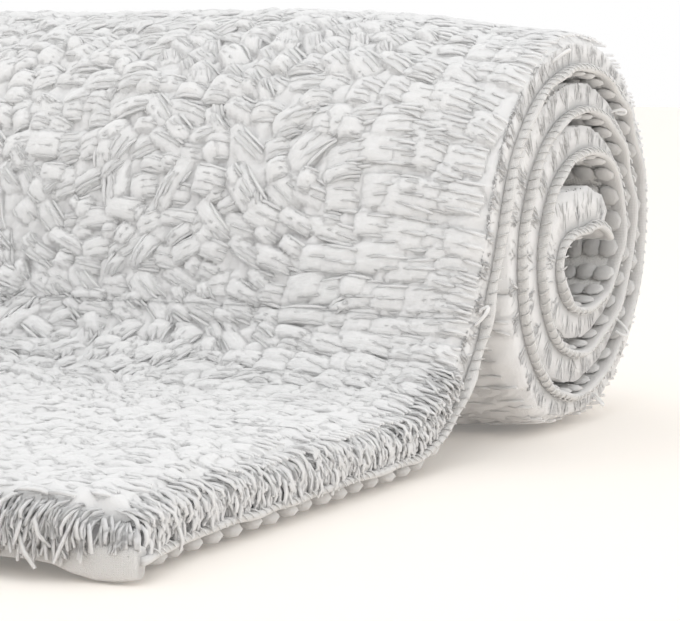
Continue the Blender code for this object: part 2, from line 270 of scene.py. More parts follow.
def make_yarn(name, dark, light, fibre_size):
    """Yarn: tone from the strand's own shade, fine fibres and combed streaks as bump."""
    material, tree, shader = new_material(name, light, 0.92, 0.25)
    shade = add(tree, "ShaderNodeAttribute", attribute_name="shade")
    comb = add(tree, "ShaderNodeAttribute", attribute_name="comb")
    stretch = add(tree, "ShaderNodeVectorMath", operation="MULTIPLY")
    stretch.inputs[1].default_value = (110.0, 900.0, 40.0)
    streaks = add(tree, "ShaderNodeTexNoise", Scale=1.0, Detail=2.0, Roughness=0.5)
    where = add(tree, "ShaderNodeTexCoord")
    blotches = add(tree, "ShaderNodeTexNoise", Scale=60.0, Detail=3.0)
    fibres = add(tree, "ShaderNodeTexNoise", Scale=1 / fibre_size, Detail=4.0, Roughness=0.7)
    blend = add(tree, "ShaderNodeMix", data_type="FLOAT")
    blend.inputs[0].default_value = 0.35
    mix = add(tree, "ShaderNodeMix", data_type="RGBA")
    mix.inputs[6].default_value = (*dark, 1)
    mix.inputs[7].default_value = (*light, 1)
    lines = add(tree, "ShaderNodeBump", Strength=0.65, Distance=0.0008)
    fuzz = add(tree, "ShaderNodeBump", Strength=0.50, Distance=0.0004)
    link = tree.links.new
    link(comb.outputs["Vector"], stretch.inputs[0])
    link(stretch.outputs[0], streaks.inputs["Vector"])
    link(where.outputs["Object"], blotches.inputs["Vector"])
    link(where.outputs["Object"], fibres.inputs["Vector"])
    link(shade.outputs["Fac"], blend.inputs[2])
    link(blotches.outputs["Fac"], blend.inputs[3])
    link(blend.outputs[0], mix.inputs[0])
    link(mix.outputs[2], shader.inputs["Base Color"])
    link(streaks.outputs["Fac"], lines.inputs["Height"])
    link(fibres.outputs["Fac"], fuzz.inputs["Height"])
    link(lines.outputs["Normal"], fuzz.inputs["Normal"])
    link(fuzz.outputs["Normal"], shader.inputs["Normal"])
    return material


def make_weave(name, dark, light, thread_size):
    """Plain weave: two crossed waves on the piece's own map in metres."""
    material, tree, shader = new_material(name, light, 0.88, 0.15)
    cloth_map = add(tree, "ShaderNodeUVMap", uv_map="cloth_map")
    height = add(tree, "ShaderNodeMath", operation="MAXIMUM")
    link = tree.links.new
    for slot, direction in enumerate(("X", "Y")):
        wave = add(tree, "ShaderNodeTexWave", bands_direction=direction, Distortion=1.2, Detail=2.0)
        wave.inputs["Scale"].default_value = 0.314 / thread_size
        wave.inputs["Detail Scale"].default_value = 2.0
        link(cloth_map.outputs["UV"], wave.inputs["Vector"])
        link(wave.outputs["Fac"], height.inputs[slot])
    where = add(tree, "ShaderNodeTexCoord")
    noise = add(tree, "ShaderNodeTexNoise", Scale=180.0, Detail=4.0)
    mix = add(tree, "ShaderNodeMix", data_type="RGBA")
    mix.inputs[6].default_value = (*dark, 1)
    mix.inputs[7].default_value = (*light, 1)
    bump = add(tree, "ShaderNodeBump", Strength=0.5, Distance=0.0003)
    link(where.outputs["Object"], noise.inputs["Vector"])
    link(noise.outputs["Fac"], mix.inputs[0])
    link(mix.outputs[2], shader.inputs["Base Color"])
    link(height.outputs[0], bump.inputs["Height"])
    link(bump.outputs["Normal"], shader.inputs["Normal"])
    return material


YARN = make_yarn("cotton_pile_yarn", (0.78, 0.78, 0.778), (0.84, 0.84, 0.838), 0.0008)
BACK_YARN = make_yarn("back_stitch_yarn", (0.60, 0.595, 0.585), (0.70, 0.695, 0.685), 0.0005)
THREAD = make_yarn("hem_sewing_thread", (0.74, 0.74, 0.73), (0.82, 0.82, 0.81), 0.0002)
GROUND = make_weave("woven_ground_cloth", (0.66, 0.65, 0.63), (0.74, 0.735, 0.72), 0.0009)
# The hem cloth's darker tone is painted shade, for the corner hem that faces down and away from the
# lamps.
HEM_CLOTH_PAINTED_SHADE = make_weave("folded_hem_cloth_painted_shade", (0.66, 0.655, 0.645), (0.73, 0.725, 0.715), 0.0005)
print("finishes", [m.name for m in (YARN, BACK_YARN, THREAD, GROUND, HEM_CLOTH_PAINTED_SHADE)])

# %% [markdown]
# ## Closed layers along the path
#
# Ground cloth and the dense foot of the pile are layers: a grid over the mat for the top, the same
# grid for the underside, and walls between them. One helper makes both, and writes each point's
# place on the flat mat as a map, so that a weave follows the cloth round the roll.


# %% Layer helper
def finish_mesh(name, vertices, faces, material, uv=None):
    """A smooth mesh object with its material, and its map of flat places."""
    mesh = bpy.data.meshes.new(name)
    mesh.from_pydata(np.asarray(vertices).tolist(), [], faces)
    if uv is not None:
        layer = mesh.uv_layers.new(name="cloth_map")
        corner = np.empty(len(mesh.loops), np.int32)
        mesh.loops.foreach_get("vertex_index", corner)
        layer.data.foreach_set("uv", np.asarray(uv, np.float32)[corner].ravel())
    mesh.shade_smooth()
    mesh.materials.append(material)
    thing = bpy.data.objects.new(name, mesh)
    bpy.context.scene.collection.objects.link(thing)
    return thing


def layer(name, distances, across, top, bottom, material):
    """A closed layer. top and bottom are offsets above the path on the grid of distance and width."""
    d, x = np.meshgrid(distances, across, indexing="ij")
    rows, columns = d.shape
    points = np.concatenate([spot(x, d, level).reshape(-1, 3) for level in (top, bottom)])
    flat = np.tile(np.dstack([x, d]).reshape(-1, 2), (2, 1))
    index = np.arange(rows * columns).reshape(rows, columns)
    under = index + rows * columns
    faces = []
    a, b, c, e = index[:-1, :-1], index[:-1, 1:], index[1:, 1:], index[1:, :-1]
    faces += np.stack([a, b, c, e], -1).reshape(-1, 4).tolist()
    a, b, c, e = under[:-1, :-1], under[1:, :-1], under[1:, 1:], under[:-1, 1:]
    faces += np.stack([a, b, c, e], -1).reshape(-1, 4).tolist()
    ring = np.concatenate([index[0, :], index[1:, -1], index[-1, -2::-1], index[-2:0:-1, 0]])
    after = np.roll(ring, -1)
    faces += np.stack([ring, ring + rows * columns, after + rows * columns, after], -1).tolist()
    return finish_mesh(name, points, faces, material, flat)


def ripple(a, b, size, seed):
    """Smooth noise between -1 and 1 over two coordinates: a few crossed sine waves."""
    picker = np.random.default_rng(seed)
    total = 0.0
    for _ in range(7):
        angle, phase = picker.uniform(0, 2 * np.pi, 2)
        wave = 2 * np.pi / (size * picker.uniform(0.7, 1.6))
        total = total + np.sin((a * math.cos(angle) + b * math.sin(angle)) * wave + phase)
    return np.clip(total / 2.6, -1, 1)


# %% [markdown]
# ## Bend lines
#
# The flap lifts along two lines. The mat is divided half way between the two lines, where the
# division is hidden under the pile, and its pieces are made in stretches on either side. A piece
# may cross only one line, so the mat is divided half way between the two lines, where the division
# is hidden under the pile.

# %% Where the mat bends
joints = {j["name"]: j for j in frame["record"]["behaviour"]["joints"]}
TIP_LINE = np.array(joints["tip_lift"]["pos_m"])
FOOT_LINE = np.array(joints["flap_lift"]["pos_m"])
FREE_EDGE_Y = PATH[0, 0]
DIVIDE = (TIP_LINE[1] + FOOT_LINE[1]) / 2 - FREE_EDGE_Y
STRETCHES = {"front": (0.0, DIVIDE), "rolled": (DIVIDE, MAT_LENGTH)}


def bend_with(thing, stretch):
    """Bakes a front or rolled piece's place into its mesh, and hangs any other piece on the roll's
    body.
    """
    if stretch == "front":
        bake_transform(thing)
    elif stretch == "rolled":
        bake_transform(thing)
    else:
        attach(thing, "roll")


print(f"the mat is divided {DIVIDE:.3f} m from its free edge")

# %% [markdown]
# ## Ground cloth
#
# The woven cloth carries everything, and is one sheet on the real mat. It is a thin closed layer on
# the path, in two stretches, and each is kept with its flat size.

# %% Make the ground cloth
cloth = {}
for stretch, (first, last) in STRETCHES.items():
    first = max(first, HEM_WIDTH * 0.5)
    last = min(last, MAT_LENGTH - HEM_WIDTH * 0.5)
    half_width = SIDE - 0.004
    distances = np.linspace(first, last, int((last - first) / 0.0035) + 2)
    across = np.linspace(-half_width, half_width, 25)
    piece = layer("ground_cloth_" + stretch, distances, across, CLOTH / 2, -CLOTH / 2, GROUND)
    bend_with(piece, stretch)
    cloth[stretch] = (piece, (2 * half_width, last - first))
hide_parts("ground_cloth_tip")
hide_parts("ground_cloth_flap", "ground_cloth_roll")
print({name: size for name, (_, size) in cloth.items()})

# %% [markdown]
# ## Petals of pile
#
# Tufts sit in rows a stitch gauge apart. Washing mats them: a dozen strands lie over side by side
# and form a soft lobe, like a petal, whose ends curl back into the pile. The petals are laid out
# first, as plain numbers. Two things are then made from them: a relief of all the petals together,
# and the single strands that lie on it. Separate strands alone would look like straw, and a relief
# alone like clay.

# %% Lay out the petals
PETAL_LENGTH, PETAL_WIDTH = 0.0150, 0.0082
TUFT_SIDE = SIDE - 0.0036
OUTER_END = distance_at_turn(0.97)


def lay_petals(first, last, x_low, x_high, seed):
    """Places, directions and sizes of the petals between two distances."""
    pick = np.random.default_rng(seed)
    places = []
    for row in range(int(first / ROW_PITCH), int(last / ROW_PITCH) + 1):
        steps = pick.uniform(0.0055, 0.0120, int((x_high - x_low) / 0.0055) + 2)
        x = x_low - 0.006 + np.cumsum(steps)
        x = x[x < x_high]
        places.append(np.stack([x, row * ROW_PITCH + pick.normal(0, 0.0011, len(x))], -1))
    x, d = np.concatenate(places).T
    loose = pick.random(len(x)) < 0.95 - 0.65 * smooth((np.abs(x) - (SIDE - 0.080)) / 0.055)
    x = np.concatenate([x, x[loose] + pick.uniform(-0.004, 0.004, loose.sum())])
    d = np.concatenate([d, d[loose] + pick.uniform(0.25, 0.75, loose.sum()) * ROW_PITCH])
    x = np.clip(x, x_low, x_high)
    n = len(x)
    small = np.arange(n) >= n - loose.sum()
    side = smooth((np.abs(x) - (SIDE - 0.080)) / 0.055)
    sign = np.where(side > 0.02, np.sign(x), np.where(ripple(x, d, 0.12, 13) > -0.25, 1.0, -1.0))
    angle = 0.85 * ripple(x, d, 0.055, 12) + pick.normal(0, 0.36, n)
    angle = angle + np.where(small, pick.normal(0, 0.4, n), 0)
    angle *= 1 - 0.80 * side
    droop = 0.30 * along(d, TANGENT)[:, 1] * (1 - 0.6 * side)
    at_end = 1 - smooth((d - 0.002) / 0.016)
    over = 1.6 * at_end * (1 - smooth((np.abs(x) - (SIDE - 0.05)) / 0.02))
    way_x, way_d = sign * np.cos(angle), np.sin(angle) - droop - over
    size = np.hypot(way_x, way_d)
    fine = 1 - smooth((d - 0.13) / 0.05)
    top = smooth((d - 0.36) / 0.05)
    scale = (1 - 0.16 * fine - 0.12 * top) * (0.84 + 0.16 * side) * np.where(small, 0.70, 1.0)
    return {
        "x": x,
        "d": d,
        "way_x": way_x / size,
        "way_d": way_d / size,
        "long": 0.5 * PETAL_LENGTH * pick.uniform(0.62, 1.28, n) * scale,
        "wide": 0.5 * PETAL_WIDTH * pick.uniform(0.66, 1.15, n) * scale,
        "tall": np.minimum(pick.uniform(0.87, 1.0, n) + 0.03 * fine + 0.03 * small, 1.03),
        "tone": pick.uniform(0, 1, n),
    }


PETALS = lay_petals(0.001, OUTER_END, -TUFT_SIDE, TUFT_SIDE, 71)
print(len(PETALS["x"]), "petals")


# %% Height of the pile
def pile_room(distance, x):
    """Height of the pile: fuller in the mat's middle on the roll, combed thin at its sides."""
    room = np.interp(distance, ALONG, ROOM) - FACE
    turn = np.interp(distance, ALONG, TURN)
    middle = 1 - smooth((np.abs(x) - 0.215) / 0.075)
    on_roll = smooth((distance - 0.19) / 0.05) * (1 - smooth((distance - 0.41) / 0.05))
    thin = smooth((np.abs(x) - (SIDE - 0.050)) / 0.046)
    outer = smooth((distance - 0.15) / 0.08) * (1 - smooth((turn - 0.95) / 0.1))
    slack = np.where(turn > 1, np.exp(-(((turn % 1) - 0.37) / 0.09) ** 2), 0)
    flap = 1 - smooth((distance - 0.14) / 0.07)
    width = 0.0070 + 0.0060 * flap
    rounded_off = np.clip((np.abs(x) - (SIDE - 0.0025 - width)) / width, 0, 1) ** 2
    rounded_off = rounded_off * (0.55 + 0.30 * flap) * (1 - smooth((turn - 0.95) / 0.1))
    room = room * (1 + 0.27 * middle * on_roll) * (1 - thin * (0.04 + 0.22 * outer))
    room = room * (1 - 0.28 * slack)
    return room * np.sqrt(1 - rounded_off)


def pile_base(distance, x):
    """Offset of the matted pile under the petals, closest to their tops where it is brushed flat."""
    turn = np.interp(distance, ALONG, TURN)
    flap = 1 - smooth((distance - 0.13) / 0.07)
    top = smooth((turn - 0.13) / 0.08)
    return FACE + (0.72 + 0.15 * flap + 0.14 * top) * pile_room(distance, x)


# %% The relief of the petals
def dome_of(along_share, across_share):
    """Share of a petal's height at a place given in shares of its half length and half width."""
    crown = np.clip(1 - along_share**2, 0, 1)
    return np.sqrt(crown * np.clip(1 - 0.30 * across_share**2 - 0.70 * across_share**8, 0, 1))


def relief(distances, across, petals):
    """Offset above the path of the petals' top on a grid, and each point's tone."""
    d, x = np.meshgrid(distances, across, indexing="ij")
    room = pile_room(d, x)
    base = pile_base(d, x)
    level = base + room * (0.07 + 0.05 * ripple(x, d, 0.007, 41))
    tone = np.full(level.shape, 0.3)
    comb = np.zeros((*level.shape, 3))
    step_d = distances[1] - distances[0]
    for x0, d0, wx, wd, a, b, tall, shade in zip(*petals.values()):
        reach = a + 0.001
        rows = [(d0 - reach - distances[0]) / step_d, (d0 + reach - distances[0]) / step_d + 1]
        i0, i1 = np.clip(rows, 0, len(distances)).astype(int)
        j0, j1 = np.searchsorted(across, [x0 - reach, x0 + reach])
        if i0 >= i1 or j0 >= j1:
            continue
        cut = np.s_[i0:i1, j0:j1]
        u = ((x[cut] - x0) * wx + (d[cut] - d0) * wd) / a
        v = ((d[cut] - d0) * wx - (x[cut] - x0) * wd) / b
        dome = dome_of(u, v)
        height = room[cut] * tall - (base[cut] - FACE)
        top = base[cut] + np.maximum(height, 0.001) * dome
        wins = (top > level[cut]) & (dome > 0.05)
        level[cut] = np.where(wins, top, level[cut])
        tone[cut] = np.where(wins, shade, tone[cut])
        lie = np.stack([u * a, v * b, np.full(u.shape, shade)], -1)
        comb[cut] = np.where(wins[..., None], lie, comb[cut])
    near_end = np.clip(1 - (d - 0.0008) / 0.0070, 0, 1)
    level = level * np.sqrt(1 - 0.72 * near_end**2)
    corner = smooth((np.abs(x) - (SIDE - CORNER_BARE)) / 0.008)
    level = level * (1 - corner * (1 - smooth((d - 0.0050) / 0.0040)))
    level = level + 0.00022 * ripple(x, d, 0.0034, 42) + 0.00016 * ripple(x, d, 0.0019, 43)
    return level, tone, comb


def store(mesh, name, values):
    """Stores a number or a vector on each point of a mesh, for a node tree or a finish to read."""
    values = np.asarray(values, np.float32)
    kind, field = ("FLOAT", "value") if values.ndim == 1 else ("FLOAT_VECTOR", "vector")
    mesh.attributes.new(name, kind, "POINT").data.foreach_set(field, values.ravel())


def relief_layer(name, distances, across, petals, stretch):
    """A closed layer with the relief on top and a plain underside against the cloth."""
    level, tone, comb = relief(distances, across, petals)
    level = np.maximum(level, CLOTH / 2 + 4e-4)
    d, x = np.meshgrid(distances, across, indexing="ij")
    rows, columns = d.shape
    ends = np.tile(across[[0, -1]], rows)
    low = spot(ends, np.repeat(distances, 2), CLOTH / 2 + 1e-4)
    points = np.concatenate([spot(x, d, level).reshape(-1, 3), low])
    index = np.arange(rows * columns).reshape(rows, columns)
    left = rows * columns + 2 * np.arange(rows)
    right = left + 1
    top = [index[:-1, :-1], index[:-1, 1:], index[1:, 1:], index[1:, :-1]]
    quads = [
        np.stack(top, -1).reshape(-1, 4),
        np.stack([left[:-1], left[1:], right[1:], right[:-1]], -1),
        np.stack([index[:-1, 0], index[1:, 0], left[1:], left[:-1]], -1),
        np.stack([index[:-1, -1], right[:-1], right[1:], index[1:, -1]], -1),
    ]
    faces = np.concatenate(quads).tolist()
    faces.append([*index[0, ::-1], left[0], right[0]])
    faces.append([*index[-1, :], right[-1], left[-1]])
    piece = finish_mesh(name, points, faces, YARN)
    # Flat end caps keep the shading of the top from turning dark where two layers meet.
    for cap in (-1, -2):
        piece.data.polygons[cap].use_smooth = False
    shade = np.concatenate([tone.ravel(), np.full(2 * rows, 0.3)])
    lies = np.concatenate([comb.reshape(-1, 3), np.zeros((2 * rows, 3))])
    store(piece.data, "shade", shade)
    store(piece.data, "comb", lies)
    bend_with(piece, stretch)
    return piece


# %% Make the relief
FINE, FINE_ACROSS, COARSE_ACROSS, FINE_FROM = 0.0008, 0.00065, 0.0018, 0.05
coarse = np.arange(-PILE_SIDE, FINE_FROM, COARSE_ACROSS)
relief_across = np.concatenate([coarse, np.arange(FINE_FROM, PILE_SIDE, FINE_ACROSS), [PILE_SIDE]])
cuts = [0.0008, DIVIDE, 0.145, 0.205, 0.30, 0.395, distance_at_turn(0.60)]
reliefs = []
for number, (first, last) in enumerate(zip(cuts, cuts[1:])):
    distances = np.linspace(first, last, int(round((last - first) / FINE)) + 1)
    stretch = ("front", "rolled", "rolled", "roll", "roll", "roll")[number]
    name = f"pile_relief_{number + 1}"
    reliefs.append(relief_layer(name, distances, relief_across, PETALS, stretch))
no_petals = {key: value[:0] for key, value in PETALS.items()}
for name, first, last, rows, columns, petals in (
    ("underside", cuts[-1], OUTER_END, 90, 260, PETALS),
    ("inner", OUTER_END, MAT_LENGTH - 0.004, 230, 60, no_petals),
):
    across = np.linspace(-PILE_SIDE, PILE_SIDE, columns)
    distances = np.linspace(first, last, rows)
    reliefs.append(relief_layer("pile_relief_" + name, distances, across, petals, "roll"))
print("relief", [len(piece.data.polygons) for piece in reliefs])

# %% [markdown]
# ## A tree of nodes for strands of yarn
#
# Each tuft is a bundle of cut yarn ends. One strand is a short curve that leaves the cloth upright
# and then leans over, so its shape follows a rule: an arc of a given length and turn. Geometry Nodes
# puts a straight line on every root point, bends it by values stored on that point, gives it a
# round section, and sets its tone. Python only decides where the roots are and how they lean.


# %% Node helpers
class Tree:
    """A geometry node group with small helpers for values and maths."""

    def __init__(self, name, inputs):
        self.group = bpy.data.node_groups.new(name, "GeometryNodeTree")
        face = self.group.interface
        face.new_socket("Geometry", in_out="INPUT", socket_type="NodeSocketGeometry")
        for label, kind, value in inputs:
            socket = face.new_socket(label, in_out="INPUT", socket_type=kind)
            if value is not None:
                socket.default_value = value
        face.new_socket("Geometry", in_out="OUTPUT", socket_type="NodeSocketGeometry")
        self.source = self.group.nodes.new("NodeGroupInput")
        self.sink = self.group.nodes.new("NodeGroupOutput")

    def node(self, kind, links=(), **settings):
        node = self.group.nodes.new(kind)
        for key, value in settings.items():
            setattr(node, key, value)
        for socket, value in dict(links).items():
            target = node.inputs[socket]
            if isinstance(value, bpy.types.NodeSocket):
                self.group.links.new(value, target)
            else:
                target.default_value = value
        return node

    def math(self, operation, *values):
        return self.node("ShaderNodeMath", dict(enumerate(values)), operation=operation).outputs[0]

    def vector(self, operation, *values):
        node = self.node("ShaderNodeVectorMath", operation=operation)
        slots = {"SCALE": (0, 3)}.get(operation, (0, 1, 2))
        for slot, value in zip(slots, values):
            if isinstance(value, bpy.types.NodeSocket):
                self.group.links.new(value, node.inputs[slot])
            else:
                node.inputs[slot].default_value = value
        return node.outputs[0]

    def attribute(self, name, kind="FLOAT"):
        node = self.node("GeometryNodeInputNamedAttribute", {"Name": name}, data_type=kind)
        return node.outputs["Attribute"]

    def end(self, geometry):
        """Every tree ends in Realize Instances and Set Material."""
        real = self.node("GeometryNodeRealizeInstances", {"Geometry": geometry}).outputs[0]
        painted = self.node(
            "GeometryNodeSetMaterial",
            {"Geometry": real, "Material": self.source.outputs["Material"]},
        )
        self.group.links.new(painted.outputs[0], self.sink.inputs["Geometry"])


def run_tree(tree, name, points, values, material, **inputs):
    """Runs a tree on points that carry values, and returns the result as one plain mesh object."""
    mesh = bpy.data.meshes.new(name + "_points")
    mesh.from_pydata(np.asarray(points).tolist(), [], [])
    for key, value in values.items():
        store(mesh, key, value)
    carrier = bpy.data.objects.new(name + "_points", mesh)
    bpy.context.scene.collection.objects.link(carrier)
    modifier = carrier.modifiers.new("make", "NODES")
    modifier.node_group = tree.group
    settings = {"Material": material, **inputs}
    for item in tree.group.interface.items_tree:
        if item.item_type == "SOCKET" and item.in_out == "INPUT" and item.name in settings:
            modifier[item.identifier] = settings[item.name]
    carrier.update_tag()
    graph = bpy.context.evaluated_depsgraph_get()
    made = bpy.data.meshes.new_from_object(carrier.evaluated_get(graph))
    made.name = name
    bpy.data.objects.remove(carrier, do_unlink=True)
    bpy.data.meshes.remove(mesh)
    thing = bpy.data.objects.new(name, made)
    bpy.context.scene.collection.objects.link(thing)
    return thing


# %% The strand tree
def strand_tree():
    """Curves that start along `up`, turn by `turn` towards `lean`, and are `reach` long."""
    t = Tree(
        "yarn_strands",
        [
            ("Material", "NodeSocketMaterial", None),
            ("Points per strand", "NodeSocketInt", 5),
            ("Sides", "NodeSocketInt", 3),
        ],
    )
    line = t.node("GeometryNodeCurvePrimitiveLine", {"Start": (0, 0, 0), "End": (0, 0, 1)})
    cut = t.node(
        "GeometryNodeResampleCurve",
        {"Curve": line.outputs[0], "Count": t.source.outputs["Points per strand"]},
    )
    put = t.node(
        "GeometryNodeInstanceOnPoints",
        {"Points": t.source.outputs["Geometry"], "Instance": cut.outputs[0]},
    )
    real = t.node("GeometryNodeRealizeInstances", {"Geometry": put.outputs[0]})
    share = t.node("GeometryNodeSplineParameter").outputs["Factor"]
    turn, reach = t.attribute("turn"), t.attribute("reach")
    angle = t.math("MULTIPLY", turn, share)
    radius = t.math("DIVIDE", reach, turn)
    upward = t.math("MULTIPLY", radius, t.math("SINE", angle))
    sideways = t.math("MULTIPLY", radius, t.math("SUBTRACT", 1.0, t.math("COSINE", angle)))
    rise = t.vector("SCALE", t.attribute("up", "FLOAT_VECTOR"), upward)
    lie = t.vector("SCALE", t.attribute("lean", "FLOAT_VECTOR"), sideways)
    sway = t.vector("SCALE", t.attribute("sway", "FLOAT_VECTOR"), t.math("POWER", share, 1.6))
    bow = t.vector(
        "SCALE",
        t.attribute("bow", "FLOAT_VECTOR"),
        t.math("SINE", t.math("MULTIPLY", share, math.pi)),
    )
    straight = t.node("ShaderNodeCombineXYZ", {"Z": share}).outputs[0]
    curved = t.vector("ADD", t.vector("ADD", rise, lie), t.vector("ADD", sway, bow))
    moved = t.vector("SUBTRACT", curved, straight)
    bent = t.node("GeometryNodeSetPosition", {"Geometry": real.outputs[0], "Offset": moved})
    swell = t.math("MULTIPLY_ADD", t.math("SINE", t.math("MULTIPLY", share, 2.9)), 0.35, 0.70)
    thick = t.math("MULTIPLY", t.attribute("thick"), swell)
    sides = t.source.outputs["Sides"]
    ring = t.node("GeometryNodeCurvePrimitiveCircle", {"Resolution": sides, "Radius": 1.0})
    tube = t.node(
        "GeometryNodeCurveToMesh",
        {"Curve": bent.outputs[0], "Profile Curve": ring.outputs[0], "Scale": thick, "Fill Caps": True},
    )
    soft = t.node("GeometryNodeSetShadeSmooth", {"Geometry": tube.outputs[0]})
    t.end(soft.outputs[0])
    return t


STRANDS = strand_tree()
print("strand tree has", len(STRANDS.group.nodes), "nodes")

# %% [markdown]
# ## Strands on the petals
#
# Each petal carries a few lanes of yarn. A strand rises from the relief at the petal's root,
# follows its dome and dips back in at the tip, half sunk, so that neighbours merge. Some strands
# are prouder than others, and a few lie loose across the rest.

# %% Strands of the petals
STRAND_THICK = 0.00052


def petal_strands(petals, first, last, lanes, seed):
    """Roots and values of the strands on the petals between two distances."""
    pick = np.random.default_rng(seed)
    chosen = (petals["d"] >= first) & (petals["d"] < last)
    here = {key: np.repeat(value[chosen], lanes) for key, value in petals.items()}
    n = len(here["x"])
    lane = np.tile(np.linspace(-0.84, 0.84, lanes), n // lanes) + pick.normal(0, 0.07, n)
    veer = pick.normal(0, 0.06, n)
    wx = here["way_x"] * np.cos(veer) - here["way_d"] * np.sin(veer)
    wd = here["way_d"] * np.cos(veer) + here["way_x"] * np.sin(veer)
    long = here["long"] * pick.uniform(0.94, 1.02, n)
    slip = here["long"] * pick.uniform(-0.04, 0.04, n)
    half = here["wide"] * lane
    root_x = here["x"] - here["way_d"] * half + wx * (slip - long * 0.95)
    root_d = here["d"] + here["way_x"] * half + wd * (slip - long * 0.95)
    tip_x = root_x + 1.9 * long * wx
    beyond = np.abs(tip_x) - (SIDE - 0.0026)
    over = np.clip(beyond / np.maximum(np.abs(1.9 * long * wx), 1e-4), 0, 0.8)
    long = long * (1 - over * (np.sign(tip_x) == np.sign(wx)))
    root_x = np.clip(root_x, -SIDE + 0.006, SIDE - 0.006)
    root_d = np.clip(root_d, 0.003, MAT_LENGTH - 0.006)
    middle_x, middle_d = root_x + long * wx, np.clip(root_d + long * wd, 0, MAT_LENGTH)
    room = pile_room(middle_d, middle_x)
    base = pile_base(middle_d, middle_x)
    dome = np.maximum(dome_of(0.0, lane), 0.2)
    smoothed = 1 - smooth((here["d"] - 0.13) / 0.05) + smooth((here["d"] - 0.36) / 0.05)
    proud = pick.uniform(-0.00045, 0.00010, n) - 0.00020 * smoothed
    high = np.maximum(room * here["tall"] - (base - FACE), 0.001) * dome + proud
    radius = np.maximum(np.minimum(high, room - (base - FACE) - STRAND_THICK * 0.8), 0.0006)
    turn = pick.uniform(2.75, 3.0, n)
    up2, run2 = ways(root_d)
    width = long / radius
    bow = pick.normal(0, 0.00028, (n, 2))
    kept = (here["x"] > FINE_FROM) | (np.arange(n) % 2 == 0)
    values = {
        "root": spot(root_x, root_d, base),
        "up": in_space(0.0, up2),
        "lean": in_space(width * wx, (width * wd)[:, None] * run2),
        "sway": np.zeros((n, 3)),
        "bow": in_space(bow[:, 0], bow[:, 1:] * run2),
        "turn": turn,
        "reach": radius * turn,
        "thick": STRAND_THICK * pick.uniform(0.85, 1.15, n),
        "shade": np.clip(0.6 * here["tone"] + 0.4 * pick.uniform(0, 1, n), 0, 1),
    }
    return {key: value[kept] for key, value in values.items()}


def make_tufts(name, values, stretch, sides=3):
    """One piece of pile from its strands' roots and values."""
    values = dict(values)
    piece = run_tree(STRANDS, name, values.pop("root"), values, YARN, Sides=sides)
    bend_with(piece, stretch)
    return piece


# %% Make the strands of the petals
tufts = {"front": [], "rolled": [], "roll": []}
marks = [0.0, DIVIDE, 0.158, 0.235, 0.312, 0.388, distance_at_turn(0.60), OUTER_END]
for number, (first, last) in enumerate(zip(marks, marks[1:])):
    stretch = ("front", "rolled", "roll")[min(number, 2)]
    lanes = (3, 3, 3, 4, 4, 2, 2)[number]
    values = petal_strands(PETALS, first, last, lanes, 100 + number)
    tufts[stretch].append(make_tufts(f"pile_tufts_{number + 1}", values, stretch, 4))
count = sum(len(piece.data.polygons) for group in tufts.values() for piece in group)
print(count, "faces in", sum(len(group) for group in tufts.values()), "pieces")
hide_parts("pile_tip")
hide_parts("pile_flap", "pile_foot")
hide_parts("pile_front", "pile_top", "pile_rear")
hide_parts("pile_underside")

# %% [markdown]
# ## The pile's side
#
# At the mat's sides the pile is seen from the side, between the turns of the roll. There the
# strands stand up from the cloth, flush with the hem, in a matted wall. Short strands rooted all
# over that wall, mostly pointing away from the cloth, give its grainy look.


# %% Strands of the side wall
def wall_strands(first, last, sign, per_metre, seed):
    """Short strands over the pile's side, most of them pointing away from the cloth."""
    pick = np.random.default_rng(seed)
    n = int((last - first) * per_metre)
    d = np.sort(pick.uniform(first, last, n))
    room = pile_room(d, np.full(n, SIDE))
    level = pick.uniform(0.0, 0.62, n)
    row = np.cos(2 * np.pi * d / ROW_PITCH)
    deep = SIDE - 0.0027 + 0.0002 * row - 0.0004 * level + pick.normal(0, 0.00015, n)
    up2, run2 = ways(d)
    slant = pick.normal(0, 0.30, n)
    way = up2 * np.cos(slant)[:, None] + run2 * np.sin(slant)[:, None]
    turn = pick.uniform(2.7, 3.0, n)
    radius = pick.uniform(0.0001, 0.0004, n)
    long = np.minimum(pick.uniform(0.0030, 0.0060, n), room * (0.94 - level))
    width = long / (1 - np.cos(turn)) / radius
    return {
        "root": spot(sign * deep, d, FACE + room * level),
        "up": in_space(float(sign), np.zeros((n, 2))),
        "lean": in_space(0.0, width[:, None] * way),
        "sway": np.zeros((n, 3)),
        "bow": in_space(0.0, pick.normal(0, 0.0003, (2, n)).T),
        "turn": turn,
        "reach": radius * turn,
        "thick": 0.00042 * pick.uniform(0.7, 1.2, n),
        "shade": pick.uniform(0, 1, n),
    }


# %% Make the side walls
SIDES = {"near": 1, "far": -1}
WALL_STRANDS = {"near": 7000, "far": 3000}    # per metre of the mat's side
WALL_STRETCHES = {
    "front": (0.004, DIVIDE),
    "rolled": (DIVIDE, 0.30),
    "roll": (0.30, MAT_LENGTH - 0.006),
}
for side, sign in SIDES.items():
    for stretch, (first, last) in WALL_STRETCHES.items():
        values = wall_strands(first, last, sign, WALL_STRANDS[side], 500 + sign)
        make_tufts(f"pile_side_{side}_{stretch}", values, stretch)
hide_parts("pile_second_turn", "pile_third_turn", "pile_core")

# %% [markdown]
# ## Loose loops
#
# A few strands have worked loose at the roll's end and stand out of the pile's side as small open
# loops. The strand tree makes them too: with a turn of more than half a circle the arc comes back
# towards its root, and a little sway keeps its two ends apart.

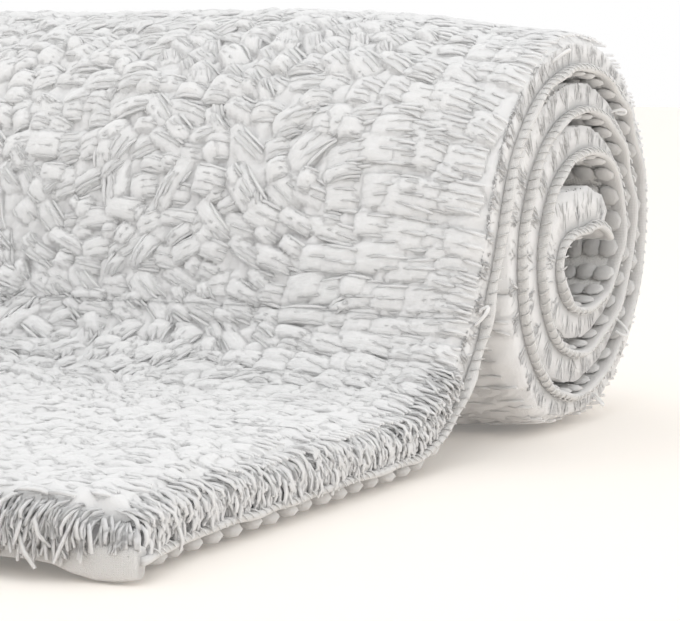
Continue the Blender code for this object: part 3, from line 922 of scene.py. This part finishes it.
# %% Loose loops of yarn
pick = np.random.default_rng(47)
loops = np.array([0.205, 0.292, 0.455, 0.634, 0.70])
n = len(loops)
up2, run2 = ways(loops)
radius = pick.uniform(0.0016, 0.0028, n)
turn = pick.uniform(3.6, 5.2, n)
loose = {
    "root": spot(np.full(n, SIDE - 0.0030), loops, FACE + 0.0030),
    "up": in_space(0.45, 0.9 * up2),
    "lean": in_space(0.35, run2),
    "sway": in_space(0.0012, 0.003 * up2),
    "bow": in_space(0.0022, np.zeros((n, 2))),
    "turn": turn,
    "reach": radius * turn,
    "thick": np.full(n, 0.00048),
    "shade": np.full(n, 0.8),
}
settings = {"Sides": 6, "Points per strand": 14}
piece = run_tree(STRANDS, "pile_loose_loops", loose.pop("root"), loose, YARN, **settings)
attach(piece, "roll")
print("loose loops", n)

# %% [markdown]
# ## Fringe
#
# On the flap nothing presses the pile back, so its outermost tufts fall over the side hem and over
# the free end and partly hide them. The folded corners stay bare. A falling strand goes out over the
# edge and then down, which is the same arc as before with other directions.


# %% Strands that hang over an edge
def hanging(x, d, level, out, far, lowest, seed):
    """Strands that go `far` out from the pile over an edge and hang to an offset of `lowest`."""
    pick = np.random.default_rng(seed)
    n = len(x)
    offset = FACE + pile_room(d, x) * level
    up2, run2 = ways(d)
    out = out / np.linalg.norm(out, axis=1)[:, None]
    beside = np.stack([out[:, 1], -out[:, 0]], -1)
    slant = pick.normal(0, 0.30, n)
    turn = pick.uniform(1.6, 2.4, n)
    drop = (offset - lowest) / (1 - np.cos(turn)) / far
    aside = drop * np.sin(slant) * 0.8
    slide = beside * aside[:, None]
    return {
        "root": spot(x, d, offset),
        "up": in_space(out[:, 0], out[:, 1:] * run2),
        "lean": in_space(0.0, -up2) * drop[:, None] + in_space(slide[:, 0], slide[:, 1:] * run2),
        "sway": np.zeros((n, 3)),
        "bow": pick.normal(0, 0.0004, (n, 3)),
        "turn": turn,
        "reach": far * turn,
        "thick": 0.00058 * pick.uniform(0.75, 1.2, n),
        "shade": pick.uniform(0, 1, n),
    }


# %% Make the fringe
FRINGE_STRANDS = {"near": 9000, "far": 4500}    # per metre of the mat's side
END_STRANDS = 4200
FRINGE_LOBE = 0.006           # width of the bunches that the hanging strands gather in
pick = np.random.default_rng(61)
fringe = {}
for side, sign in SIDES.items():
    for stretch, (first, last) in {"front": (0.007, DIVIDE), "rolled": (DIVIDE, 0.185)}.items():
        n = int((last - first) * FRINGE_STRANDS[side])
        d = np.sort(pick.uniform(first, last, n))
        inward = 0.0060 * pick.random(n)
        x = sign * (SIDE - 0.0025 - inward)
        level = pick.uniform(0.62, 0.92, n)
        lobe = ripple(x, d, FRINGE_LOBE, 62)
        far = inward + 0.0020 + 0.0008 * lobe + pick.uniform(-0.0006, 0.0004, n)
        high = FACE + pile_room(d, x) * level
        lowest = np.maximum(high - pick.uniform(0.0030, 0.0070, n), -0.0004 - 0.0012 * lobe)
        lowest += 0.0020 * smooth((d - 0.14) / 0.04)
        stray = 0.5 * ripple(x, d, 0.009, 64) + pick.normal(0, 0.3, n)
        out = np.stack([np.full(n, float(sign)), stray], -1)
        values = hanging(x, d, level, out, far, lowest, 610 + sign)
        fringe[side, stretch] = make_tufts(f"pile_fringe_{side}_{stretch}", values, stretch)
x = np.sort(pick.uniform(-SIDE + 0.004, SIDE - 0.004, END_STRANDS))
x = x[(x > FINE_FROM) | (pick.random(END_STRANDS) < 0.6)]
n = len(x)
bare = smooth((np.abs(x) - (SIDE - CORNER_BARE)) / 0.008)
near = 1 - 0.5 * pick.random(n)
d = 0.0012 + 0.0066 * (1 - near) + 0.0040 * bare
level = 0.90 * np.sqrt(1 - 0.72 * near**2) * (1 - 0.25 * bare)
lobe = ripple(x, d, FRINGE_LOBE, 63)
far = d + 0.0022 + 0.0010 * lobe + pick.uniform(-0.0005, 0.0006, n) - 0.0030 * bare
high = FACE + pile_room(d, x) * level
lowest = np.maximum(high - pick.uniform(0.0040, 0.0110, n), -0.0014 - 0.0010 * lobe + 0.0036 * bare)
stray = 0.5 * ripple(x, d, 0.009, 65) + pick.normal(0, 0.3, n)
out = np.stack([stray, np.full(n, -1.0)], -1)
fringe["end"] = make_tufts("pile_fringe_end", hanging(x, d, level, out, far, lowest, 621), "front")
print("fringe", [len(piece.data.polygons) for piece in fringe.values()])

# %% [markdown]
# ## Back stitches
#
# On the cloth's back each stitch of a tuft shows as a small plump loop, and the loops of a row run
# together into a rib. Their ends show as a line of nubs under the flap's side, and they line the
# core. One low rounded lump repeated along each row gives the rib its beaded look.


# %% Back stitches
def lump_tree():
    """A squashed ball on each point, turned so that its flat way follows the cloth."""
    t = Tree(
        "back_stitches",
        [
            ("Material", "NodeSocketMaterial", None),
            ("Segments", "NodeSocketInt", 8),
            ("Rings", "NodeSocketInt", 4),
        ],
    )
    shape = {key: t.source.outputs[key] for key in ("Segments", "Rings")}
    ball = t.node("GeometryNodeMeshUVSphere", {**shape, "Radius": 1.0})
    axes = {
        "Primary Axis": t.attribute("up", "FLOAT_VECTOR"),
        "Secondary Axis": t.attribute("row", "FLOAT_VECTOR"),
    }
    turned = t.node("FunctionNodeAxesToRotation", axes, primary_axis="Z", secondary_axis="X")
    put = t.node(
        "GeometryNodeInstanceOnPoints",
        {
            "Points": t.source.outputs["Geometry"],
            "Instance": ball.outputs["Mesh"],
            "Rotation": turned.outputs[0],
            "Scale": t.attribute("size", "FLOAT_VECTOR"),
        },
    )
    soft = t.node("GeometryNodeSetShadeSmooth", {"Geometry": put.outputs[0]})
    t.end(soft.outputs[0])
    return t


LUMPS = lump_tree()
LUMP_SPACING, LUMP_LENGTH, LUMP_WIDTH = 0.0052, 0.0036, 0.0034
LUMP_SIDE = SIDE - 0.0042


def lump_points(first_row, last_row, x_low, x_high, seed):
    """Places and sizes of the stitches of some rows."""
    pick = np.random.default_rng(seed)
    out = {key: [] for key in ("root", "up", "row", "size", "shade")}
    for row in range(first_row, last_row):
        count = max(2, int(round((x_high - x_low) / LUMP_SPACING)))
        x = np.linspace(x_low, x_high, count) + pick.uniform(-0.0005, 0.0005, count)
        d = row * ROW_PITCH + pick.uniform(-0.0004, 0.0004, count)
        height = back_height(d) * pick.uniform(0.90, 1.0, count)
        up2, run2 = ways(d)
        twist = pick.normal(0, 0.12, count)
        out["root"].append(spot(x, d, -(CLOTH / 2 + height * 0.48)))
        out["up"].append(in_space(0.0, up2))
        out["row"].append(in_space(np.cos(twist), np.sin(twist)[:, None] * run2))
        long = LUMP_LENGTH * pick.uniform(0.9, 1.1, count)
        wide = LUMP_WIDTH * pick.uniform(0.88, 1.05, count)
        out["size"].append(np.stack([long, wide, 0.56 * height], -1))
        out["shade"].append(pick.uniform(0, 1, count))
    return {key: np.concatenate(value) for key, value in out.items()}


# %% Make the back stitches
LUMPS_SEEN = 0.036            # how far in from each side the roll's hidden stitches are made
row_core = int(distance_at_turn(2.45) / ROW_PITCH)
row_divide = int(DIVIDE / ROW_PITCH) + 1
row_roll = int(0.150 / ROW_PITCH) + 1
row_last = int((MAT_LENGTH - 0.008) / ROW_PITCH)
back_sets = {
    "back_stitches_front": ([(2, row_divide, -LUMP_SIDE, LUMP_SIDE)], "front"),
    "back_stitches_foot": ([(row_divide, row_roll + 6, -LUMP_SIDE, LUMP_SIDE)], "rolled"),
    "back_stitches_rolled": (
        [
            (row_roll + 6, row_core, LUMP_SIDE - LUMPS_SEEN, LUMP_SIDE),
            (row_roll + 6, row_core, -LUMP_SIDE, -LUMP_SIDE + LUMPS_SEEN),
            (row_core, row_last + 1, -LUMP_SIDE, LUMP_SIDE),
        ],
        "roll",
    ),
}
backs = {}
for number, (name, (parts, stretch)) in enumerate(back_sets.items()):
    sets = [lump_points(*part, 400 + 10 * number + i) for i, part in enumerate(parts)]
    values = {key: np.concatenate([part[key] for part in sets]) for key in sets[0]}
    piece = run_tree(LUMPS, name, values.pop("root"), values, BACK_YARN)
    bend_with(piece, stretch)
    backs[name] = piece
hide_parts("back_stitches_tip")
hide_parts("back_stitches_flap", "back_stitches_foot")
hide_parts("back_stitches_roll")
print("back stitches", {name: len(piece.data.polygons) for name, piece in backs.items()})

# %% [markdown]
# ## Side hems
#
# Each side of the cloth is folded over on itself, which leaves a plump edge a little thicker than
# the cloth. Seen from the end of the roll it is the fine bright line that draws the spiral. It is a
# section with a bead at its outer edge, swept along the path and allowed to waver.


# %% Side hem helper
def side_hem(name, first, last, sign, material):
    """A hem's section swept along the path. sign is +1 at the near side and -1 at the far one."""
    face = [(-0.012, 0.0006), (-0.0030, 0.0007), (-0.0018, 0.0009), (-0.0006, 0.0009), (0, 0.0004)]
    section = np.array(face + [(x, -height) for x, height in face[::-1]])
    distances = np.linspace(first, last, int((last - first) / 0.0022) + 2)
    waver = 0.0005 * ripple(distances, 0 * distances, 0.023, 21 + sign)
    lift = 0.00035 * ripple(distances, 0 * distances, 0.031, 25 + sign)
    points, flat = [], []
    travel = np.concatenate([[0], np.cumsum(np.linalg.norm(np.diff(section, axis=0), axis=1))])
    for distance, w, up in zip(distances, waver, lift):
        edge = smooth((section[:, 0] + 0.012) / 0.010)
        x = sign * (SIDE + 0.0004 + section[:, 0] + w * edge)
        points += spot(x, distance, section[:, 1] + up * edge).tolist()
        flat += np.stack([travel, np.full(len(section), distance)], -1).tolist()
    k = len(section)
    faces = []
    for i in range(len(distances) - 1):
        for j in range(k):
            a, b = i * k + j, i * k + (j + 1) % k
            quad = [a, b, b + k, a + k]
            faces.append(quad if sign > 0 else quad[::-1])
    cap = list(range(k))
    end = [len(points) - k + j for j in range(k)]
    faces += [cap[::-1], end] if sign > 0 else [cap, end[::-1]]
    return finish_mesh(name, points, faces, material, flat)


# %% Make the side hems
hems = {}
for side, sign in SIDES.items():
    for stretch, (first, last) in STRETCHES.items():
        first = max(first, HEM_BEAD * 0.6)
        last = min(last, MAT_LENGTH - 0.001)
        piece = side_hem(f"side_hem_{side}_{stretch}", first, last, sign, HEM_CLOTH_PAINTED_SHADE)
        bend_with(piece, stretch)
        hems[side, stretch] = piece
    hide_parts(f"side_hem_{side}_tip")
    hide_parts(f"side_hem_{side}_flap", f"side_hem_{side}_roll")
print("side hems", list(hems))

# %% [markdown]
# ## Hem thread
#
# The hems are closed with a slanting overcast stitch. Each stitch is a short strand over the bead,
# so the strand tree makes them too: a root on one face, and an arc of half a turn to the other.


# %% Overcast stitches on the side hems
THREAD_THICK = 0.00030


def overcast(first, last, sign):
    """Roots and values of the stitches over a side hem's bead."""
    d = np.arange(first, last, 0.0032)
    up2, run2 = ways(d)
    n = len(d)
    return {
        "root": spot(np.full(n, sign * (SIDE - 0.0019)), d, 0.0009),
        "up": in_space(0.75 * sign, 0.62 * up2),
        "lean": in_space(0.45 * sign, -0.85 * up2),
        "sway": in_space(0.0, 0.0015 * run2),
        "bow": np.zeros((n, 3)),
        "turn": np.full(n, 1.9),
        "reach": np.full(n, 0.0040),
        "thick": np.full(n, THREAD_THICK),
        "shade": np.full(n, 0.6),
    }


for side, sign in SIDES.items():
    for stretch, (first, last) in STRETCHES.items():
        values = overcast(max(first, 0.008) + 0.001, min(last, MAT_LENGTH - 0.004), sign)
        name = f"hem_thread_{side}_{stretch}"
        piece = run_tree(STRANDS, name, values.pop("root"), values, THREAD)
        bend_with(piece, stretch)
    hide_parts(f"hem_thread_{side}_tip")
    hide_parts(f"hem_thread_{side}_flap", f"hem_thread_{side}_roll")

# %% [markdown]
# ## End hems
#
# At the free end the cloth is rolled over into a soft bead and stitched down. Its smooth face shows
# at the corners, where the tufts stop short. The hem at the inner end is thinner, and closes the
# cloth in the core. Both are sections drawn out across the mat.


# %% End hem helper
FLOOR_GAP = 0.0001


def end_hem(name, outline, material, seed, lift=0.0):
    """A closed section (distance, offset) swept across the mat, lifted between its corners."""
    outline = np.array(outline)
    across = np.linspace(-SIDE + 0.0008, SIDE - 0.0008, 140)
    k = len(outline)
    travel = np.concatenate([[0], np.cumsum(np.linalg.norm(np.diff(outline, axis=0), axis=1))])
    middle = outline.mean(axis=0)
    points, flat = [], []
    for x in across:
        swell = 1 + 0.05 * ripple(np.array(x), 0.0, 0.02, seed)
        corner = smooth((SIDE - abs(x)) / 0.003) * 0.22 + 0.78
        ring = middle + (outline - middle) * swell * corner
        between = 1 - smooth((abs(x) - (SIDE - CORNER_BARE - 0.006)) / 0.012)
        low = FLOOR_GAP - FLAT_Z + lift * between
        ring[:, 1] *= 1 - between * min(lift, 0.0030) / 0.0055
        points += spot(np.full(k, x), ring[:, 0], np.maximum(ring[:, 1], low)).tolist()
        flat += np.stack([np.full(k, x), travel], -1).tolist()
    faces = []
    for i in range(len(across) - 1):
        for j in range(k):
            a, b = i * k + j, i * k + (j + 1) % k
            faces.append([a, a + k, b + k, b])
    faces += [list(range(k)), [len(points) - 1 - j for j in range(k)]]
    return finish_mesh(name, points, faces, material, flat)


def rounded(points, rounds=2):
    """Cuts the corners of a closed outline, which rounds it."""
    points = np.array(points, float)
    for _ in range(rounds):
        after = np.roll(points, -1, axis=0)
        cut = [0.75 * points + 0.25 * after, 0.25 * points + 0.75 * after]
        points = np.stack(cut, 1).reshape(-1, 2)
    return points


# %% Make the end hems
low, tail = -FLAT_Z + 0.0002, 0.0010
free_outline = rounded([
    (0.0003, low), (0.0050, low), (0.0058, -tail), (0.0125, -tail), (0.0125, tail),
    (0.0070, tail), (0.0056, 0.0028), (0.0030, 0.0038), (0.0004, 0.0026), (0.0000, -0.0010),
])
# The darker hem cloth here is painted shade on the corner hem's faces that turn down.
free_hem = end_hem("end_hem_free", free_outline[::-1], HEM_CLOTH_PAINTED_SHADE, 31, lift=0.0036)
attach(free_hem, "flap_tip")
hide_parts("end_hem_free")
core_start, core_end = MAT_LENGTH - 0.0115, MAT_LENGTH - 0.0004
core_outline = rounded([
    (core_start, -0.0012), (core_end, -0.0015), (core_end, 0.0015), (core_start, 0.0012),
])
core_hem = end_hem("end_hem_core", core_outline[::-1], HEM_CLOTH_PAINTED_SHADE, 32)
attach(core_hem, "roll")
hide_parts("end_hem_core")
print("end hems", len(free_hem.data.polygons), len(core_hem.data.polygons))


# %% [markdown]
# ## Thread of the end hems
#
# Each end hem is closed with one straight row of stitches. On the real mat the thread goes down
# and comes up again a few millimetres on, so each stitch is a flat arc along the row.


# %% Running stitches on the end hems
def running_stitches(distance, offset, side_up):
    """Roots and values of a row of stitches across the mat."""
    x = np.arange(-SIDE + 0.006, SIDE - 0.008, 0.0042)
    n = len(x)
    up2 = along(np.full(n, distance), OUTWARD) * side_up
    zero = np.zeros((n, 3))
    return {
        "root": spot(x, np.full(n, distance), offset),
        "up": in_space(0.75, 0.65 * up2),
        "lean": in_space(0.65, -0.75 * up2),
        "sway": zero,
        "bow": zero,
        "turn": np.full(n, 1.45),
        "reach": np.full(n, 0.0034),
        "thick": np.full(n, THREAD_THICK),
        "shade": np.full(n, 0.6),
    }


for name, values, body in (
    ("end_hem_thread_free", running_stitches(0.0090, -0.0010, -1), "flap_tip"),
    ("end_hem_thread_core", running_stitches(MAT_LENGTH - 0.006, -0.0013, -1), "roll"),
):
    piece = run_tree(STRANDS, name, values.pop("root"), values, THREAD)
    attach(piece, body)
    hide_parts(name)

# %% [markdown]
# ## The sheet and its pieces
#
# The ground cloth is the sheet, and the hems, pile and stitches go with it. Here the rolled hems and
# back stitches are only gathered in a list, and each stretch of cloth is read with its flat size.

rolled_pieces = [hems["near", "rolled"], hems["far", "rolled"], core_hem]
rolled_pieces += [backs["back_stitches_foot"], backs["back_stitches_rolled"]]
piece, flat = cloth["front"]
piece, flat = cloth["rolled"]

# %% [markdown]
# ## Floor, light and camera
#
# White cotton on a white floor needs broad light from everywhere, so that only the furrows and the
# places where the mat touches the floor go grey. A white world does most of it. A large soft lamp
# above and in front shapes the roll, and a weaker one beside the mat lights the roll's near end.
# The floor is a little warm, which shows only in the shade.

# %% Floor
FLOOR_SIZE = 4.0
corners = [(x * FLOOR_SIZE, y * FLOOR_SIZE, 0) for x, y in ((-1, -1), (1, -1), (1, 1), (-1, 1))]
floor_look, _, floor_shader = new_material("pale_floor", (0.93, 0.86, 0.79), 0.9, 0.0)
floor_shader.inputs["Emission Color"].default_value = (1, 1, 1, 1)
floor_shader.inputs["Emission Strength"].default_value = 0.09
floor = finish_mesh("floor", corners, [[0, 1, 2, 3]], floor_look)
floor.location.z = -0.0002
print("floor at", round(floor.location.z, 4))

# %% Light
scene = bpy.context.scene
scene.view_settings.view_transform = "Standard"
scene.view_settings.look = "None"
world = bpy.data.worlds.new("white_room")
scene.world = world
world.use_nodes = True
world.node_tree.nodes["Background"].inputs["Color"].default_value = (1, 1, 1, 1)
world.node_tree.nodes["Background"].inputs["Strength"].default_value = 1.0


def facing(way):
    """The rotation of a lamp or a camera that looks this way."""
    return Vector(way).to_track_quat("-Z", "Y").to_euler()


def soft_lamp(name, place_at, aim, size, watts):
    """A round area lamp that lights towards a point."""
    data = bpy.data.lights.new(name, "AREA")
    data.shape = "DISK"
    data.size = size
    data.energy = watts
    lamp = bpy.data.objects.new(name, data)
    lamp.location = place_at
    lamp.rotation_euler = facing(Vector(aim) - Vector(place_at))
    scene.collection.objects.link(lamp)
    return lamp


lamps = [
    soft_lamp("window", (0.45, -0.35, 2.0), (0.1, 0.0, 0.03), size=1.2, watts=3.2),
    soft_lamp("fill", (1.55, -0.25, 0.50), (0.30, 0.10, 0.06), size=0.9, watts=1.6),
]
print("lamps", [lamp.name for lamp in lamps])

# %% Camera
camera_data = bpy.data.cameras.new("camera")
camera_data.lens = 141.0
camera_data.sensor_width = 36.0
camera_data.clip_end = 20
camera = bpy.data.objects.new("camera", camera_data)
scene.collection.objects.link(camera)
scene.camera = camera
azimuth, pitch = math.radians(25.67), math.radians(5.67)
camera.location = (SIDE + 0.2750, 0.10286 - 0.7342, 0.1107)
level = math.cos(pitch)
way = (-math.sin(azimuth) * level, math.cos(azimuth) * level, -math.sin(pitch))
camera.rotation_euler = facing(way)
print("camera", [round(v, 4) for v in camera.location])

# %% [markdown]
# ## Triangles, and the end
#
# The last cell counts the triangles, because pile is heavy, and prints the total and the largest
# pieces.


# %% Count the triangles and finish
def triangles(thing):
    """How many triangles an object's faces make."""
    sizes = np.empty(len(thing.data.polygons), np.int32)
    thing.data.polygons.foreach_get("loop_total", sizes)
    return int((sizes - 2).sum())


seen = [thing for thing in scene.objects if thing.type == "MESH" and thing.visible_get()]
counts = {thing.name: triangles(thing) for thing in seen}
most = sorted(counts, key=counts.get)[-6:]
print(sum(counts.values()), "triangles, the most in", {name: counts[name] for name in most})
